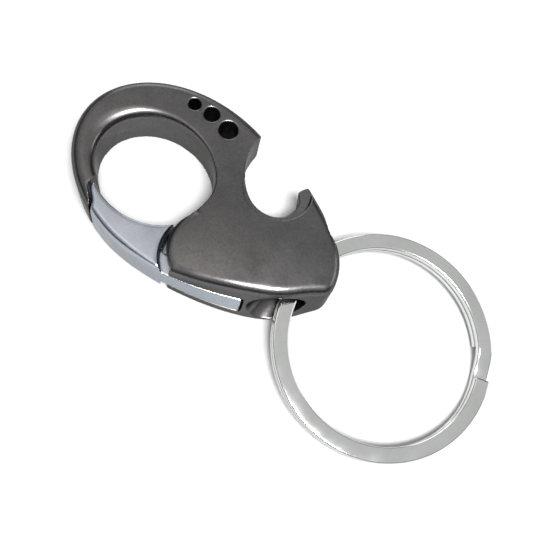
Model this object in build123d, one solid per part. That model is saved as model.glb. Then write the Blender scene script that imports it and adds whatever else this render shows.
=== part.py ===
from build123d import *
import os
from math import asin, cos, degrees, hypot, radians, sin

# Keychain bottle opener: a cast loop with a spring gate, an opener notch and a split ring.
# Frame: the flat back of the body lies on z = 0, X runs from the loop to the split ring and
# the centre of the loop is on the X axis. The origin is under the thick tail of the body.

# ---- driving dimensions, mm ----
LOOP_THICK = 7.6            # loop, back face to front face
DOME_RISE = 1.9             # how much the tail stands above the loop
DOME_CENTRE = (1.0, -3.0)
DOME_R = 20.0               # where the dome has run out into the loop's face

LOOP_CENTRE = (-15.8, 1.25)     # ellipse of the outside of the loop
LOOP_RADII = (19.15, 14.2)
LOOP_TURN = -5.5                # degrees from X
BELLY = (                       # points of the belly and how far each leans in over the full height
    ((-12.4, -12.7), (0.0, 0.2)),
    ((-3.2, -11.1), (-0.2, 1.2)),
    ((2.9, -9.0), (-0.6, 1.8)),
    ((8.0, -5.8), (-1.1, 1.5)),
    ((11.3, -1.6), (-0.9, 0.5)),
    ((12.15, 1.5), (-0.3, 0.1)),
)
FLANK = ((10.4, 5.2), (5.3, 9.4), (-0.4, 12.3))
HOLE_CENTRE = (-20.5, 0.0)      # ellipse of the opening of the loop
HOLE_RADII = (9.5, 8.1)
FRONT_ROUND = 1.6
BACK_ROUND = 0.7
BEVEL_STEPS = ((0.4, 1.9), (0.75, 1.4), (1.25, 0.8))     # depth and width of each facet at its widest
BEVEL_TOWARDS = (-0.98, 0.17)   # the bevel is widest on this side of the opening and fades opposite
BEVEL_FADE = 0.35               # share of its growth that the bevel keeps across that direction

LEDGE_CENTRE = (-3.8, 8.6)      # shallow ledge round the opener notch
LEDGE_R = 5.3
LEDGE_Z = 7.3

PIVOT = (-6.8, -5.8)            # hinge axis of the gate
PIN_R = 1.25
PIN_LENGTH = 6.8
PIN_BACK = 0.25                 # the pin's head lies this far inside the back face
KNUCKLE_R = 5.45                # rounded end of the body's two cheeks round the pin
CHEEK_ROUND = 1.2
CHEEK_TOP = 8.3                 # height of the front cheek along its rounded end
CHEEK_SHIFT = 2.8               # the rounding's centre lies this far behind the pin, so its ends fade
CHEEK_ARC = (154.0, 240.0)      # degrees from X round that centre
POCKET_R = 6.1                  # pocket for the gate's eye between the cheeks
SLOT_Z = (1.8, 5.9)             # pocket between the back and front cheeks
RUNNING_GAP = 0.05

GATE_Z = (0.3, 7.35)            # full thickness of the gate's arm
TONGUE_Z = (2.0, 5.7)
NECK_Z = 3.4                    # the tongue is let down to here in the gap before the front cheek
NECK_LOW_Y = -9.4
GATE_STEP_CENTRE = (-5.9, -6.6)     # the arm ends in this hollow, clear of the cheeks
GATE_STEP_R = 6.85
GATE_GAP = 0.3
GATE_ROUND = 0.4
NOSE_REACH = 19.55              # from the hinge axis to the recess that the nose swings through
EYE_R = 4.6
TAIL_TIP = (1.4, -8.3)

SPRING_WIRE_R = 0.25
SPRING_COIL_R = 1.95
SPRING_TURNS = 2.25
SPRING_PITCH = 0.56
SPRING_WELL_R = 2.6
SPRING_WELL_DEPTH = 2.0
SPRING_LEG = 1.1                # length of the leg in the gate and of the leg in the front cheek
SPRING_LEG_NOTCH = (-6, 34)     # degrees from X that the leg has inside the gate's well
SPRING_LEG_CLEAR = 0.1

THROUGH_HOLES = ((-22.4, 12.1, 2.0), (-19.3, 12.4, 2.5), (-15.7, 11.9, 3.0))   # x, y, diameter

RING_OD = 35.0
RING_BAND = 2.4
RING_COIL = 1.2                 # thickness of one turn
RING_SPLIT = 0.06               # gap between the two turns
RING_JOG = 19.0                 # degrees over which the wire climbs to the upper turn
RING_JOG_AT = 28.5              # degrees from X to the middle of the climb
RING_CENTRE_Y = 0.3
RING_EDGE = 0.2
RING_AXIS_Z = 4.4               # height of the wire's middle inside the tunnel

TUNNEL_X = (3.3, 9.8)
TUNNEL_Z = (1.1, 7.7)
TUNNEL_FLARE = 0.5              # how much the passage widens towards its mouths
TUNNEL_FLARE_Y = (4.0, 10.5)

TOOTH_LEAN = 1.2                # how far the tooth draws away from the bay toward the back
FULL_HEIGHT = 10.0              # height at which the belly and the tooth have their front outline
HIGH = 20.0                     # taller than any part of the body


def slab(sketch, low, high):
    """Prism of a flat sketch between two heights."""
    return Pos(0, 0, low) * extrude(sketch, high - low)


def outer_face(lean=0.0):
    """Outside of the whole body: elliptical loop, drooping belly, pointed tail and flank.

    lean is 0 at the back and 1 at full height, where the belly has drawn in."""
    start, stop = 82.0, 259.0
    loop = EllipticalCenterArc(
        LOOP_CENTRE, *LOOP_RADII, start, arc_size=stop - start, rotation=LOOP_TURN
    )
    points = [(x + lean * dx, y + lean * dy) for (x, y), (dx, dy) in BELLY]
    belly = Spline(loop @ 1, *points, tangents=[loop % 1, (-0.2, 1.0)])
    flank = Spline(belly @ 1, *FLANK, loop @ 0, tangents=[belly % 1, loop % 0])
    return make_face([loop, belly, flank])


def hole_face():
    """Opening of the loop."""
    return Pos(*HOLE_CENTRE) * Ellipse(*HOLE_RADII)


def notch_face(lean=0.0):
    """Opener notch: a hooked bay that leaves a blunt tooth at its far side.

    lean is 0 at full height and 1 at the back, where the tooth has drawn away from the bay."""
    shift = lean * TOOTH_LEAN
    bay = Spline(
        (-11.2, 14.6), (-10.5, 9.8), (-8.2, 6.4), (-4.2, 4.45),
        (-0.6 + shift, 6.4), (-0.4 + shift, 9.2), (-1.5 + shift, 10.5),
        tangents=[(0.0, -1.0), (-0.75, 0.65)],
    )
    tip = [(-1.25 + shift, 11.3), (-0.9 + shift, 11.9), (-0.2 + shift, 12.6), (-0.2 + shift, 18.0)]
    mouth = Polyline(bay @ 1, *tip, (-13.5, 18.0), (-11.9, 15.6), bay @ 0)
    return make_face([bay, mouth])


def front_surface():
    """Height of the front face: the loop's flat face, swelling into the dome of the tail."""
    def height(x, y):
        run = min(1.0, hypot(x - DOME_CENTRE[0], y - DOME_CENTRE[1]) / DOME_R)
        return LOOP_THICK + DOME_RISE * (1 - run ** 2) ** 2

    rows = [[Vector(x, y, height(x, y)) for y in range(-24, 28, 4)] for x in range(-46, 26, 4)]
    face = Face.make_surface_from_array_of_points(rows, tol=0.02)
    return Solid.extrude(face, Vector(0, 0, -HIGH))


def blank():
    """Casting before its openings are cut: flat back, domed front, rounded edges."""
    walls = loft([outer_face(), Pos(0, 0, FULL_HEIGHT) * outer_face(lean=1.0)], ruled=True)
    solid = (walls & front_surface()).solid()
    front_edges = [e for e in solid.edges() if min((e @ 0).Z, (e @ 1).Z) > LOOP_THICK - 0.3]
    solid = fillet(front_edges, FRONT_ROUND)
    back_edges = [e for e in solid.edges() if max((e @ 0).Z, (e @ 1).Z, (e @ 0.5).Z) < 0.01]
    return fillet(back_edges, BACK_ROUND)


def gate_bay(gap=0.0):
    """Flat region of the loop that the gate fills, from the nose to beyond the hinge."""
    split = Spline(
        (-25.2, -6.6), (-26.0, -8.0), (-25.1, -9.2), (-24.1, -10.2), (-23.1, -12.0), (-22.6, -14.2),
        tangents=[(-0.6, -1.0), (0.2, -1.0)],
    )
    split = Pos(-gap, -gap / 2) * split
    rest = Polyline(split @ 1, (-9.1 + gap, -15.0), (-8.4, -5.8), (-10.2, -2.2), (-16.0, -4.5), split @ 0)
    return make_face([split, rest])


def nose_recess():
    """Corner of the hook that the gate's nose passes when it swings into the opening."""
    corner = Pos(-25.4, -6.95) * Rectangle(3.0, 2.7)
    return corner & Pos(*PIVOT) * Circle(NOSE_REACH)


def hole_and_lower():
    """The loop's opening with its lower side let down to the gate's inner edge."""
    lowered = Pos(HOLE_CENTRE[0], HOLE_CENTRE[1] - 0.75) * Ellipse(*HOLE_RADII)
    return hole_face() + lowered


def gate_arm_face():
    """Full-thickness arm of the gate, seen from the front."""
    outside = outer_face() & gate_bay()
    return outside - hole_and_lower() - Pos(*GATE_STEP_CENTRE) * Circle(GATE_STEP_R)


def tongue_face(gap=0.0):
    """Tongue of the gate between the cheeks: neck, eye and a tail along the belly.

    With a gap it is the pocket that the tongue lies in, open through the belly."""
    px, py = PIVOT
    tip_x, tip_y = TAIL_TIP
    inner = Spline(
        (-13.9, -6.0 + gap), (-12.4, -5.1 + gap), (-10.0, py + 3.2 + gap), (px, py + EYE_R + gap),
        (-2.8 + gap, py + 2.2 + gap), (tip_x + gap, tip_y + 1.0 + gap),
        tangents=[(0.7, 0.7), (0.9, -0.5)],
    )
    end = ThreePointArc(inner @ 1, (tip_x + 0.75 + gap, tip_y), (tip_x + 0.3 + gap, tip_y - 2.0 - gap))
    rest = Polyline(end @ 1, (tip_x + 0.3 + gap, -15.0), (-13.9, -15.0), inner @ 0)
    face = make_face([inner, end, rest])
    return face if gap else face & outer_face()


def drill(x, y, radius, low, high):
    """Round cutter between two heights."""
    return Pos(x, y, (low + high) / 2) * Cylinder(radius, high - low)


def hole_bevel(depth, width):
    """Cutter for one facet of the bevel inside the opening, fading to nothing on one side."""
    above = 3.0
    growth = width * (depth + above) / (2 * depth)
    side_x, side_y = BEVEL_TOWARDS
    rx, ry = HOLE_RADII
    hole_x, hole_y = HOLE_CENTRE
    inset = 0.02
    low = Pos(hole_x, hole_y, LOOP_THICK - depth) * Ellipse(rx - inset, ry - inset)
    shifted = Pos(hole_x + side_x * growth, hole_y + side_y * growth, LOOP_THICK + above)
    return loft([low, shifted * Ellipse(rx + growth, ry + growth * BEVEL_FADE)])


def cheek_rounder():
    """Cutter that rounds the front edge of the front cheek, most at the middle of its curved end."""
    reach = KNUCKLE_R + CHEEK_SHIFT
    inner = reach - CHEEK_ROUND
    low = CHEEK_TOP - CHEEK_ROUND
    start, stop = CHEEK_ARC
    curve = CenterArc((inner, low), CHEEK_ROUND, 0, 90)
    rest = Polyline(curve @ 1, (inner, CHEEK_TOP + 1), (reach + 1, CHEEK_TOP + 1), (reach + 1, low), curve @ 0)
    upright = Plane(origin=(0, 0, 0), x_dir=(1, 0, 0), z_dir=(0, -1, 0))
    profile = Rot(0, 0, start) * (upright * make_face([curve, rest]))
    middle = radians(sum(CHEEK_ARC) / 2)
    centre_x = PIVOT[0] - CHEEK_SHIFT * cos(middle)
    centre_y = PIVOT[1] - CHEEK_SHIFT * sin(middle)
    return Pos(centre_x, centre_y) * revolve(profile, Axis.Z, stop - start)


def tunnel():
    """Cutter for the oval passage that the split ring runs through."""
    middle_x, middle_z = sum(TUNNEL_X) / 2, sum(TUNNEL_Z) / 2
    half_x, half_z = (TUNNEL_X[1] - TUNNEL_X[0]) / 2, (TUNNEL_Z[1] - TUNNEL_Z[0]) / 2
    passage = extrude(Plane.XZ * Ellipse(half_x, half_z), HIGH, both=True)
    near, far = TUNNEL_FLARE_Y
    for side in (-1, 1):
        throat = Plane.XZ.offset(side * near) * Ellipse(half_x, half_z)
        mouth = Plane.XZ.offset(side * far) * Ellipse(half_x + TUNNEL_FLARE, half_z + TUNNEL_FLARE)
        passage += loft([throat, mouth])
    return Pos(middle_x, 0, middle_z) * passage


def build_body():
    """Cast body: loop hook, notch with its tooth, two cheeks round the hinge, ring tunnel."""
    solid = (blank() - slab(hole_face(), -1, HIGH)).solid()
    for depth, width in BEVEL_STEPS:
        solid -= hole_bevel(depth, width)
    solid -= loft([Pos(0, 0, -1) * notch_face(lean=1.0), Pos(0, 0, FULL_HEIGHT) * notch_face()], ruled=True)
    solid -= slab(Pos(*LEDGE_CENTRE) * Circle(LEDGE_R), LEDGE_Z, HIGH)
    for x, y, diameter in THROUGH_HOLES:
        solid -= drill(x, y, diameter / 2, -1, HIGH)
    knuckle = Pos(*PIVOT) * Circle(KNUCKLE_R)
    solid -= slab(gate_bay(GATE_GAP) - knuckle, -1, HIGH)
    solid -= slab(nose_recess(), -1, HIGH)
    solid -= cheek_rounder()
    pocket = Pos(*PIVOT) * Circle(POCKET_R) + tongue_face(GATE_GAP)
    solid -= slab(pocket, *SLOT_Z)
    solid -= tunnel()
    solid -= drill(*PIVOT, PIN_R, -1, PIN_BACK + PIN_LENGTH)
    px, py = PIVOT
    leg_hole = SPRING_WIRE_R + SPRING_LEG_CLEAR
    solid -= drill(px, py + SPRING_COIL_R, leg_hole, SLOT_Z[1] - 1, SLOT_Z[1] + SPRING_LEG)
    return solid.solid()


def neck_gap():
    """Crescent between the arm's hollow end and the front cheek, down to the gate's lower part."""
    arm_end = Pos(*GATE_STEP_CENTRE) * Circle(GATE_STEP_R)
    upper = Pos(-12.0, NECK_LOW_Y + 5.0) * Rectangle(4.0, 10.0)
    return (arm_end & upper) - Pos(*PIVOT) * Circle(KNUCKLE_R - GATE_GAP)


def leg_notch():
    """Room beside the spring's well that its lower leg keeps while the gate turns."""
    reach = SPRING_COIL_R + SPRING_LEG + SPRING_LEG_CLEAR
    start, stop = SPRING_LEG_NOTCH
    rim = CenterArc((0, 0), reach, start, stop - start)
    return Pos(*PIVOT) * make_face([rim, Line(rim @ 1, (0, 0)), Line((0, 0), rim @ 0)])


def build_gate():
    """Gate: full-thickness arm with its nose, a thinner tongue with the eye and the tail."""
    arm = (slab(gate_arm_face(), *GATE_Z) & blank()).solid()
    arm = fillet([e for e in arm.edges() if min((e @ 0).Z, (e @ 1).Z) > GATE_Z[1] - GATE_ROUND / 2], GATE_ROUND)
    solid = arm + (slab(tongue_face(), *TONGUE_Z) & blank())
    solid -= slab(neck_gap(), NECK_Z, HIGH)
    solid -= drill(*PIVOT, PIN_R + RUNNING_GAP, -1, HIGH)
    solid -= drill(*PIVOT, SPRING_WELL_R, TONGUE_Z[1] - SPRING_WELL_DEPTH, HIGH)
    solid -= slab(leg_notch(), TONGUE_Z[1] - SPRING_WELL_DEPTH, HIGH)
    return solid.solid()


def build_pin():
    """Hinge pin, pressed into both cheeks from the back."""
    pin = drill(*PIVOT, PIN_R, PIN_BACK, PIN_BACK + PIN_LENGTH)
    return chamfer(pin.edges().filter_by(GeomType.CIRCLE), 0.2)


def build_spring():
    """Torsion spring round the pin: one leg in the gate's well, the other up in the front cheek."""
    coil_path = Helix(SPRING_PITCH, SPRING_TURNS * SPRING_PITCH, SPRING_COIL_R)
    section = Plane(coil_path @ 0, z_dir=coil_path % 0) * Circle(SPRING_WIRE_R)
    spring = sweep(section, path=coil_path)
    base_z = TONGUE_Z[1] - SPRING_WELL_DEPTH + SPRING_LEG_CLEAR + SPRING_WIRE_R
    low, top = coil_path @ 0, coil_path @ 1
    lower_leg = Plane(low, z_dir=(1, 0, 0)) * extrude(Circle(SPRING_WIRE_R), SPRING_LEG)
    rise = SLOT_Z[1] + SPRING_LEG - SPRING_LEG_CLEAR - base_z - top.Z
    upper_leg = Plane(top) * extrude(Circle(SPRING_WIRE_R), rise)
    for piece in (lower_leg, upper_leg, Pos(*low) * Sphere(SPRING_WIRE_R), Pos(*top) * Sphere(SPRING_WIRE_R)):
        spring += piece
    return Pos(*PIVOT, base_z) * spring


def ring_section(radius, height, angle):
    """Flat wire's cross-section, standing at an angle round the ring."""
    plane = Plane(origin=(0, 0, 0), x_dir=(1, 0, 0), z_dir=(0, -1, 0))
    wire = RectangleRounded(RING_BAND, RING_COIL, RING_EDGE)
    return Rot(0, 0, angle) * (plane * (Pos(radius, height) * wire))


def build_ring():
    """Split ring: one flat wire wound twice, climbing once from the lower to the upper turn."""
    radius = (RING_OD - RING_BAND) / 2
    level = (RING_COIL + RING_SPLIT) / 2
    first = RING_JOG_AT + RING_JOG / 2
    sweep_angle = 360.0 - RING_JOG
    turns = [
        revolve(ring_section(radius, side * level, first), Axis.Z, sweep_angle) for side in (-1, 1)
    ]
    steps = 6
    stages = []
    for i in range(steps + 1):
        part = i / steps
        rise = level * (3 * part ** 2 - 2 * part ** 3) * 2 - level
        stages.append(ring_section(radius, rise, first - RING_JOG + part * RING_JOG))
    climb = loft(stages)
    ring = turns[0] + climb + turns[1]
    droop = degrees(asin((RING_AXIS_Z - RING_COIL - RING_SPLIT / 2) / (radius + RING_OD / 2)))
    middle_x = sum(TUNNEL_X) / 2 + 0.45
    ring = Pos(radius, 0, 0) * ring
    return Pos(middle_x, RING_CENTRE_Y, RING_AXIS_Z) * Rot(0, droop, 0) * ring


if __name__ == "__main__":
    os.makedirs("parts", exist_ok=True)
    parts = {
        "body": build_body(),
        "gate": build_gate(),
        "hinge_pin": build_pin(),
        "torsion_spring": build_spring(),
        "split_ring": build_ring(),
    }
    for name, solid in parts.items():
        export_step(solid, f"parts/{name}.step")
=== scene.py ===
import math

import bmesh
import bpy
from mathutils import Matrix, Vector


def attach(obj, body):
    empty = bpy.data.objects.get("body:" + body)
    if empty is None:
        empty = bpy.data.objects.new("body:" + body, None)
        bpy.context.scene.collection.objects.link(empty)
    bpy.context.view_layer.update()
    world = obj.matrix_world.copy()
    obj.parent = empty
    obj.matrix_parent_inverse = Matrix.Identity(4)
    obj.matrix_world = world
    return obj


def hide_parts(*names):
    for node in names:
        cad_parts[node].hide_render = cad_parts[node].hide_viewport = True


# Keychain bottle opener. Metres, in the CAD model's frame: the back lies on z = 0.

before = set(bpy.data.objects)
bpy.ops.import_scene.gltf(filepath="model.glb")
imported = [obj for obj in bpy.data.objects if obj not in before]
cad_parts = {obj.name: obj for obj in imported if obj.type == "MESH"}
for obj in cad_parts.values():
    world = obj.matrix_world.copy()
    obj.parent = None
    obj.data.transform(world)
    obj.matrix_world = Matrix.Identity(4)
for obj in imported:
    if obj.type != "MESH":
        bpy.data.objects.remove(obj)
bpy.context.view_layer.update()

MM = 0.001

# ---- camera: position, right and up directions, focal length on a 36 mm sensor ----
CAMERA_AT = Vector((11.50, -36.88, 111.98)) * MM
CAMERA_RIGHT = Vector((0.8009, 0.5822, 0.1397))
CAMERA_UP = Vector((-0.5957, 0.7513, 0.2841))
CAMERA_LENS = 48.2

# ---- cast and polished parts ----
BODY_VOXEL = 0.15 * MM
GATE_VOXEL = 0.12 * MM
BODY_SOFTEN = 7
GATE_SOFTEN = 12
SEAM_JOIN = 1e-4 * MM           # vertices closer than this along a face's seam become one
SPRING_JOIN = 2e-3 * MM

# ---- split ring: flat wire wound twice ----
RING_OD = 35.0
RING_BAND = 2.4
RING_COIL = 1.2
RING_SPLIT = 0.06               # groove between the two turns
RING_EDGE = 0.30
RING_JOG = 19.0                 # degrees over which the wire climbs to the upper turn
RING_JOG_AT = 28.5
RING_CENTRE_Y = 0.3
RING_AXIS_Z = 4.4
RING_MIDDLE_X = 7.0
RING_STEPS = 420                # steps in each turn
FULL_TURN = 360.0
RING_CORNER_STEPS = 6


def joined_copy(node, name, reach=SEAM_JOIN):
    """Free copy of a CAD node's mesh with its split vertices joined."""
    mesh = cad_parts[node].data.copy()
    work = bmesh.new()
    work.from_mesh(mesh)
    bmesh.ops.remove_doubles(work, verts=work.verts, dist=reach)
    work.to_mesh(mesh)
    work.free()
    mesh.materials.clear()
    mesh.name = name
    piece = bpy.data.objects.new(name, mesh)
    bpy.context.scene.collection.objects.link(piece)
    return piece


def cast_copy(node, name, voxel, passes):
    """The node's shape with softly rounded edges, as tumbling leaves a casting."""
    piece = joined_copy(node, name)
    remesh = piece.modifiers.new("remesh", "REMESH")
    remesh.mode = "VOXEL"
    remesh.voxel_size = voxel
    soften = piece.modifiers.new("soften", "SMOOTH")
    soften.factor = 0.5
    soften.iterations = passes
    evaluated = piece.evaluated_get(bpy.context.evaluated_depsgraph_get())
    mesh = bpy.data.meshes.new_from_object(evaluated)
    piece.modifiers.clear()
    piece.data = mesh
    mesh.name = name
    mesh.polygons.foreach_set("use_smooth", [True] * len(mesh.polygons))
    return piece


def ring_outline():
    """Rounded section of the flat wire: radial and axial offsets from its middle, in mm."""
    corners = []
    half_r, half_z = RING_BAND / 2 - RING_EDGE, RING_COIL / 2 - RING_EDGE
    for quarter, (sr, sz) in enumerate(((1, 1), (-1, 1), (-1, -1), (1, -1))):
        for i in range(RING_CORNER_STEPS + 1):
            angle = math.radians(90 * quarter + 90 * i / RING_CORNER_STEPS)
            across = sr * half_r + RING_EDGE * math.cos(angle)
            along = sz * half_z + RING_EDGE * math.sin(angle)
            corners.append((across, along))
    return corners


def ring_rise(turned):
    """Height of the wire's middle after it has turned this far, in mm."""
    level = (RING_COIL + RING_SPLIT) / 2
    part = min(1.0, max(0.0, (turned - (FULL_TURN - RING_JOG)) / RING_JOG))
    return level * (2 * (3 * part ** 2 - 2 * part ** 3) - 1)


def split_ring():
    """Wire swept twice round, with its two cut ends closed."""
    radius = (RING_OD - RING_BAND) / 2
    level = (RING_COIL + RING_SPLIT) / 2
    droop = math.asin((RING_AXIS_Z - RING_COIL - RING_SPLIT / 2) / (radius + RING_OD / 2))
    place = (
        Matrix.Translation(Vector((RING_MIDDLE_X, RING_CENTRE_Y, RING_AXIS_Z)))
        @ Matrix.Rotation(droop, 4, "Y")
        @ Matrix.Translation(Vector((radius, 0, 0)))
    )
    first = RING_JOG_AT + RING_JOG / 2
    total = 2 * FULL_TURN - RING_JOG
    outline = ring_outline()
    work = bmesh.new()
    loops = []
    for step in range(RING_STEPS * 2 + 1):
        turned = total * step / (RING_STEPS * 2)
        angle = math.radians(first + turned)
        rise = ring_rise(turned)
        loop = []
        for across, along in outline:
            reach = radius + across
            point = place @ Vector((reach * math.cos(angle), reach * math.sin(angle), rise + along))
            loop.append(work.verts.new(point * MM))
        loops.append(loop)
    count = len(outline)
    for a, b in zip(loops, loops[1:]):
        for i in range(count):
            j = (i + 1) % count
            work.faces.new((a[i], a[j], b[j], b[i]))
    work.faces.new(loops[0][::-1])
    work.faces.new(loops[-1])
    bmesh.ops.recalc_face_normals(work, faces=work.faces)
    mesh = bpy.data.meshes.new("ring_wire")
    work.to_mesh(mesh)
    work.free()
    for polygon in mesh.polygons:
        polygon.use_smooth = len(polygon.vertices) == 4
    piece = bpy.data.objects.new("ring_wire", mesh)
    bpy.context.scene.collection.objects.link(piece)
    return piece


# ---- materials ----
NOISE_ROUGHNESS = 0.5
NOISE_DETAIL = 2.0
NOISE_RANGE = (0.3, 0.7)        # most of a noise's values lie between these
CLOUD_SCALE = 90.0
CLOUD_DETAIL = 3.0
PATCH_SCALE = 260.0
GRAIN_STRENGTH = 0.5


def new_material(name):
    material = bpy.data.materials.new(name)
    material.use_nodes = True
    nodes = material.node_tree.nodes
    shader = nodes["Principled BSDF"]
    return material, nodes, material.node_tree.links, shader


def noise(nodes, links, coords, scale, detail=NOISE_DETAIL):
    node = nodes.new("ShaderNodeTexNoise")
    node.inputs["Scale"].default_value = scale
    node.inputs["Detail"].default_value = detail
    node.inputs["Roughness"].default_value = NOISE_ROUGHNESS
    links.new(coords, node.inputs["Vector"])
    return node.outputs["Fac"]


def spread(nodes, links, value, low, high):
    node = nodes.new("ShaderNodeMapRange")
    node.inputs["From Min"].default_value = NOISE_RANGE[0]
    node.inputs["From Max"].default_value = NOISE_RANGE[1]
    node.inputs["To Min"].default_value = low
    node.inputs["To Max"].default_value = high
    links.new(value, node.inputs["Value"])
    return node.outputs["Result"]


def scaled_colour(nodes, links, dark, light, value):
    mix = nodes.new("ShaderNodeMix")
    mix.data_type = "RGBA"
    mix.inputs["A"].default_value = (*dark, 1)
    mix.inputs["B"].default_value = (*light, 1)
    links.new(value, mix.inputs["Factor"])
    return mix.outputs["Result"]


def bump(nodes, links, shader, height, distance):
    node = nodes.new("ShaderNodeBump")
    node.inputs["Distance"].default_value = distance
    node.inputs["Strength"].default_value = GRAIN_STRENGTH
    links.new(height, node.inputs["Height"])
    links.new(node.outputs["Normal"], shader.inputs["Normal"])


def metal(name, dark, light, edge, rough, flake_scale, flake_depth, grain_scale, grain_depth):
    """Plated metal: cloudy colour, fine flake, uneven roughness and a fine surface grain."""
    material, nodes, links, shader = new_material(name)
    coords = nodes.new("ShaderNodeTexCoord").outputs["Object"]
    shader.inputs["Metallic"].default_value = 1.0
    shader.inputs["Specular Tint"].default_value = (edge, edge, edge, 1)
    cloud = noise(nodes, links, coords, CLOUD_SCALE, CLOUD_DETAIL)
    flake = nodes.new("ShaderNodeTexVoronoi")
    flake.inputs["Scale"].default_value = flake_scale
    links.new(coords, flake.inputs["Vector"])
    bright = nodes.new("ShaderNodeSeparateColor")
    links.new(flake.outputs["Color"], bright.inputs["Color"])
    both = nodes.new("ShaderNodeMath")
    both.operation = "MULTIPLY_ADD"
    both.inputs[1].default_value = flake_depth
    links.new(bright.outputs["Red"], both.inputs[0])
    clouded = spread(nodes, links, cloud, 0.0, 1.0 - flake_depth)
    links.new(clouded, both.inputs[2])
    links.new(scaled_colour(nodes, links, dark, light, both.outputs[0]), shader.inputs["Base Color"])
    patches = noise(nodes, links, coords, PATCH_SCALE)
    links.new(spread(nodes, links, patches, rough[0], rough[1]), shader.inputs["Roughness"])
    grain = noise(nodes, links, coords, grain_scale)
    bump(nodes, links, shader, grain, grain_depth)
    return material


gunmetal = metal(
    "gunmetal_plating",
    dark=(0.100, 0.098, 0.098), light=(0.160, 0.156, 0.155), edge=0.4, rough=(0.25, 0.33),
    flake_scale=5200.0, flake_depth=0.5, grain_scale=3000.0, grain_depth=6e-6,
)
silver = metal(
    "satin_silver",
    dark=(0.34, 0.37, 0.405), light=(0.43, 0.465, 0.51), edge=0.6, rough=(0.20, 0.30),
    flake_scale=4200.0, flake_depth=0.25, grain_scale=2600.0, grain_depth=5e-6,
)
nickel = metal(
    "bright_nickel",
    dark=(0.64, 0.65, 0.64), light=(0.74, 0.75, 0.74), edge=0.6, rough=(0.08, 0.15),
    flake_scale=2600.0, flake_depth=0.2, grain_scale=1500.0, grain_depth=2e-6,
)
steel = metal(
    "pin_steel",
    dark=(0.40, 0.40, 0.41), light=(0.56, 0.56, 0.57), edge=0.8, rough=(0.25, 0.38),
    flake_scale=3800.0, flake_depth=0.3, grain_scale=2400.0, grain_depth=5e-6,
)


def use(piece, material):
    piece.data.materials.clear()
    piece.data.materials.append(material)


body = cast_copy("body", "body_casting", BODY_VOXEL, BODY_SOFTEN)
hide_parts("body")
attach(body, "body")
use(body, gunmetal)

gate = cast_copy("gate", "gate_lever", GATE_VOXEL, GATE_SOFTEN)
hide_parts("gate")
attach(gate, "gate")
use(gate, silver)

ring = split_ring()
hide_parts("split_ring")
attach(ring, "ring")
use(ring, nickel)

use(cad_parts["hinge_pin"], steel)

spring = joined_copy("torsion_spring", "spring_wire", SPRING_JOIN)
spring.data.polygons.foreach_set("use_smooth", [True] * len(spring.data.polygons))
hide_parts("torsion_spring")
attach(spring, "body")
use(spring, steel)


# ---- floor, light and camera ----
WHITE = (1, 1, 1)
FLOOR_REACH = 1.5
FLOOR_DROP = 0.02 * MM          # keeps the floor clear of the body's back
FLOOR_COLOUR = (0.52, 0.52, 0.52)
FLOOR_ROUGH = 0.8
FLOOR_GLOSS = 0.1
FLOOR_GLOW = 0.02
LIGHT_TARGET = Vector((0, 0, 0))
LIGHTS = (                      # name, place, size, watts, colour
    ("key", (0.115, -0.100, 0.418), (0.15, 0.11), 3.6, WHITE),
    ("overhead", (-0.16, 0.03, 0.48), (0.14, 0.14), 0.08, (1.0, 0.92, 0.86)),
    ("fill", (-0.30, 0.36, 0.16), (0.30, 0.24), 0.5, WHITE),
    ("rear", (0.36, 0.34, 0.16), (0.30, 0.20), 0.4, WHITE),
)
SKY_LOW = (0.26, (0.05, 0.05, 0.055, 1))        # place on the ramp from horizon to zenith, and colour
SKY_HIGH = (0.62, (0.63, 0.63, 0.63, 1))
SENSOR_WIDTH = 36.0
CLIP_START = 5.0 * MM


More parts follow.
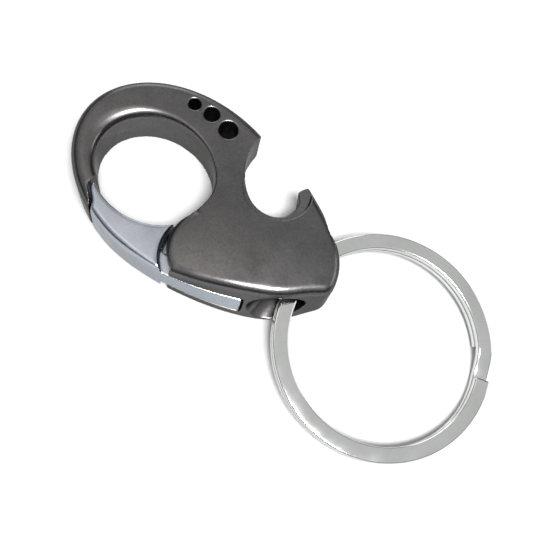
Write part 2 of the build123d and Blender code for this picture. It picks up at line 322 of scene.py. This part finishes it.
def floor_material():
    """Plain pale floor with a faint glow."""
    material, _, _, shader = new_material("white_floor")
    shader.inputs["Base Color"].default_value = (*FLOOR_COLOUR, 1)
    shader.inputs["Roughness"].default_value = FLOOR_ROUGH
    shader.inputs["Specular IOR Level"].default_value = FLOOR_GLOSS
    shader.inputs["Emission Color"].default_value = (*WHITE, 1)
    shader.inputs["Emission Strength"].default_value = FLOOR_GLOW
    return material


floor_mesh = bpy.data.meshes.new("floor")
floor_corners = [(x * FLOOR_REACH, y * FLOOR_REACH, 0) for x, y in ((-1, -1), (1, -1), (1, 1), (-1, 1))]
floor_mesh.from_pydata(floor_corners, [], [(0, 1, 2, 3)])
floor = bpy.data.objects.new("floor", floor_mesh)
floor.location = (0, 0, -FLOOR_DROP)
bpy.context.scene.collection.objects.link(floor)
floor_mesh.materials.append(floor_material())

for name, place, size, watts, colour in LIGHTS:
    light = bpy.data.lights.new(name, "AREA")
    light.shape = "RECTANGLE"
    light.size, light.size_y = size
    light.energy = watts
    light.color = colour
    lamp = bpy.data.objects.new(name, light)
    lamp.location = place
    lamp.rotation_euler = (LIGHT_TARGET - Vector(place)).to_track_quat("-Z", "Y").to_euler()
    bpy.context.scene.collection.objects.link(lamp)

world = bpy.data.worlds.new("studio")
world.use_nodes = True
tree = world.node_tree
background = tree.nodes["Background"]
direction = tree.nodes.new("ShaderNodeTexCoord").outputs["Generated"]
height = tree.nodes.new("ShaderNodeSeparateXYZ")
tree.links.new(direction, height.inputs["Vector"])
sky = tree.nodes.new("ShaderNodeValToRGB")
sky.color_ramp.interpolation = "EASE"
for element, (position, colour) in zip(sky.color_ramp.elements, (SKY_LOW, SKY_HIGH)):
    element.position = position
    element.color = colour
tree.links.new(height.outputs["Z"], sky.inputs["Fac"])
tree.links.new(sky.outputs["Color"], background.inputs["Color"])
bpy.context.scene.world = world

camera_data = bpy.data.cameras.new("camera")
camera_data.lens = CAMERA_LENS
camera_data.sensor_width = SENSOR_WIDTH
camera_data.clip_start = CLIP_START
camera = bpy.data.objects.new("camera", camera_data)
right = CAMERA_RIGHT.normalized()
back = right.cross(CAMERA_UP).normalized()
up = back.cross(right)
camera.matrix_world = Matrix.Translation(CAMERA_AT) @ Matrix((right, up, back)).transposed().to_4x4()
bpy.context.scene.collection.objects.link(camera)
bpy.context.scene.camera = camera
bpy.context.scene.view_settings.view_transform = "Standard"
